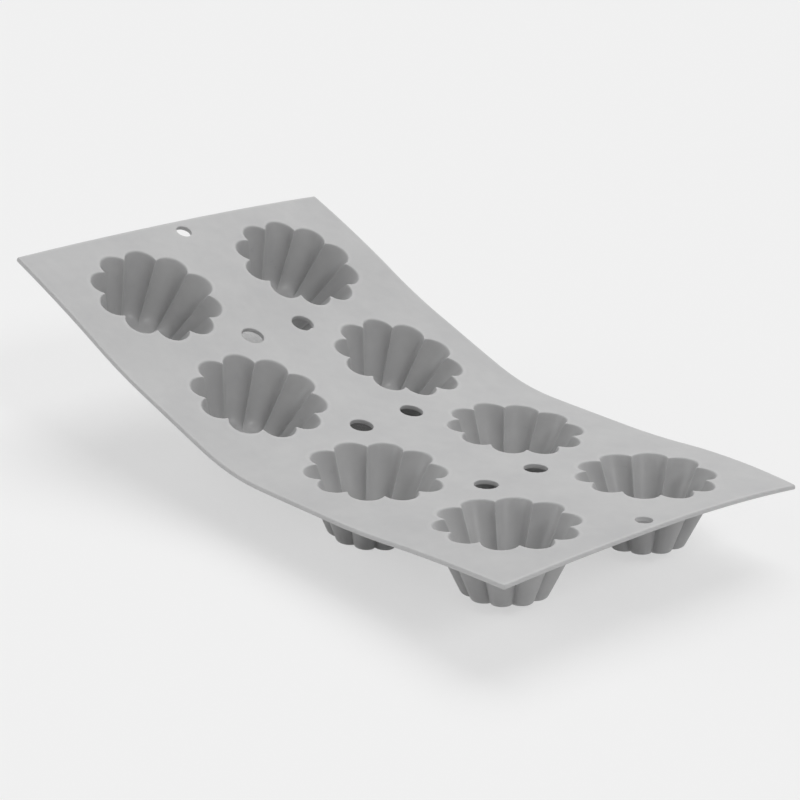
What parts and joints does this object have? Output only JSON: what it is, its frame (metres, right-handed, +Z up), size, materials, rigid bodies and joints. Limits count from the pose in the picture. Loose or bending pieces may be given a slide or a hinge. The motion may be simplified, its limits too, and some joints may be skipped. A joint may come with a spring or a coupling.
{
  "type": "silicone flan mould",
  "caption": "Flexible silicone baking mould: a thin flat sheet with rows of tapered fluted cups, vents between them and a hole at each end, flexed as when a flan is released.",
  "frame": {"origin": "centre of the bounding box in plan, on the surface that the level row of cups stands on", "axes": "+X along the length of the sheet, from the raised far end to the near end; +Y across it, from the front long edge to the back one; +Z up"},
  "size_m": [0.2922, 0.175, 0.0743],
  "materials": {
    "silicone": "satin"
  },
  "bodies": {
    "row_1": {"sheet_row_1": "silicone", "cup_1_front_wall": "silicone", "cup_1_back_wall": "silicone"},
    "row_2": {"sheet_row_2": "silicone", "cup_2_front_wall": "silicone", "cup_2_back_wall": "silicone"},
    "row_3": {"sheet_row_3": "silicone", "cup_3_front_wall": "silicone", "cup_3_back_wall": "silicone"},
    "row_4": {"sheet_row_4": "silicone", "cup_4_front_wall": "silicone", "cup_4_back_wall": "silicone"},
    "base_1_front": {"cup_1_front_base": "silicone"},
    "base_1_back": {"cup_1_back_base": "silicone"},
    "base_2_front": {"cup_2_front_base": "silicone"},
    "base_2_back": {"cup_2_back_base": "silicone"},
    "base_3_front": {"cup_3_front_base": "silicone"},
    "base_3_back": {"cup_3_back_base": "silicone"},
    "base_4_front": {"cup_4_front_base": "silicone"},
    "base_4_back": {"cup_4_back_base": "silicone"}
  },
  "joints": [
    {"name": "fold_2_3", "type": "hinge", "parent": "row_3", "child": "row_2", "pos_m": [-0.0035, 0, 0.027], "axis": [0, 1, 0], "range_deg": [-63.9, 36.1], "stiffness_Nm_per_rad": 0.8},
    {"name": "fold_1_2", "type": "hinge", "parent": "row_2", "child": "row_1", "pos_m": [-0.07378, 0, 0.04439], "axis": [0, 1, 0], "range_deg": [-58.05, 41.95], "stiffness_Nm_per_rad": 0.8},
    {"name": "fold_3_4", "type": "hinge", "parent": "row_3", "child": "row_4", "pos_m": [0.0689, 0, 0.027], "axis": [0, -1, 0], "range_deg": [-56.4, 43.6], "stiffness_Nm_per_rad": 0.8},
    {"name": "push_1_front", "type": "slide", "parent": "row_1", "child": "base_1_front", "axis": [0.3738, 0, 0.9275], "range_m": [0, 0.01], "stiffness_N_per_m": 600},
    {"name": "push_1_back", "type": "slide", "parent": "row_1", "child": "base_1_back", "axis": [0.3738, 0, 0.9275], "range_m": [0, 0.01], "stiffness_N_per_m": 600},
    {"name": "push_2_front", "type": "slide", "parent": "row_2", "child": "base_2_front", "axis": [0.2402, 0, 0.9707], "range_m": [0, 0.01], "stiffness_N_per_m": 600},
    {"name": "push_2_back", "type": "slide", "parent": "row_2", "child": "base_2_back", "axis": [0.2402, 0, 0.9707], "range_m": [0, 0.01], "stiffness_N_per_m": 600},
    {"name": "push_3_front", "type": "slide", "parent": "row_3", "child": "base_3_front", "axis": [0, 0, 1], "range_m": [0, 0.01], "stiffness_N_per_m": 600},
    {"name": "push_3_back", "type": "slide", "parent": "row_3", "child": "base_3_back", "axis": [0, 0, 1], "range_m": [0, 0.01], "stiffness_N_per_m": 600},
    {"name": "push_4_front", "type": "slide", "parent": "row_4", "child": "base_4_front", "axis": [-0.1115, 0, 0.9938], "range_m": [0, 0.01], "stiffness_N_per_m": 600},
    {"name": "push_4_back", "type": "slide", "parent": "row_4", "child": "base_4_back", "axis": [-0.1115, 0, 0.9938], "range_m": [0, 0.01], "stiffness_N_per_m": 600}
  ]
}
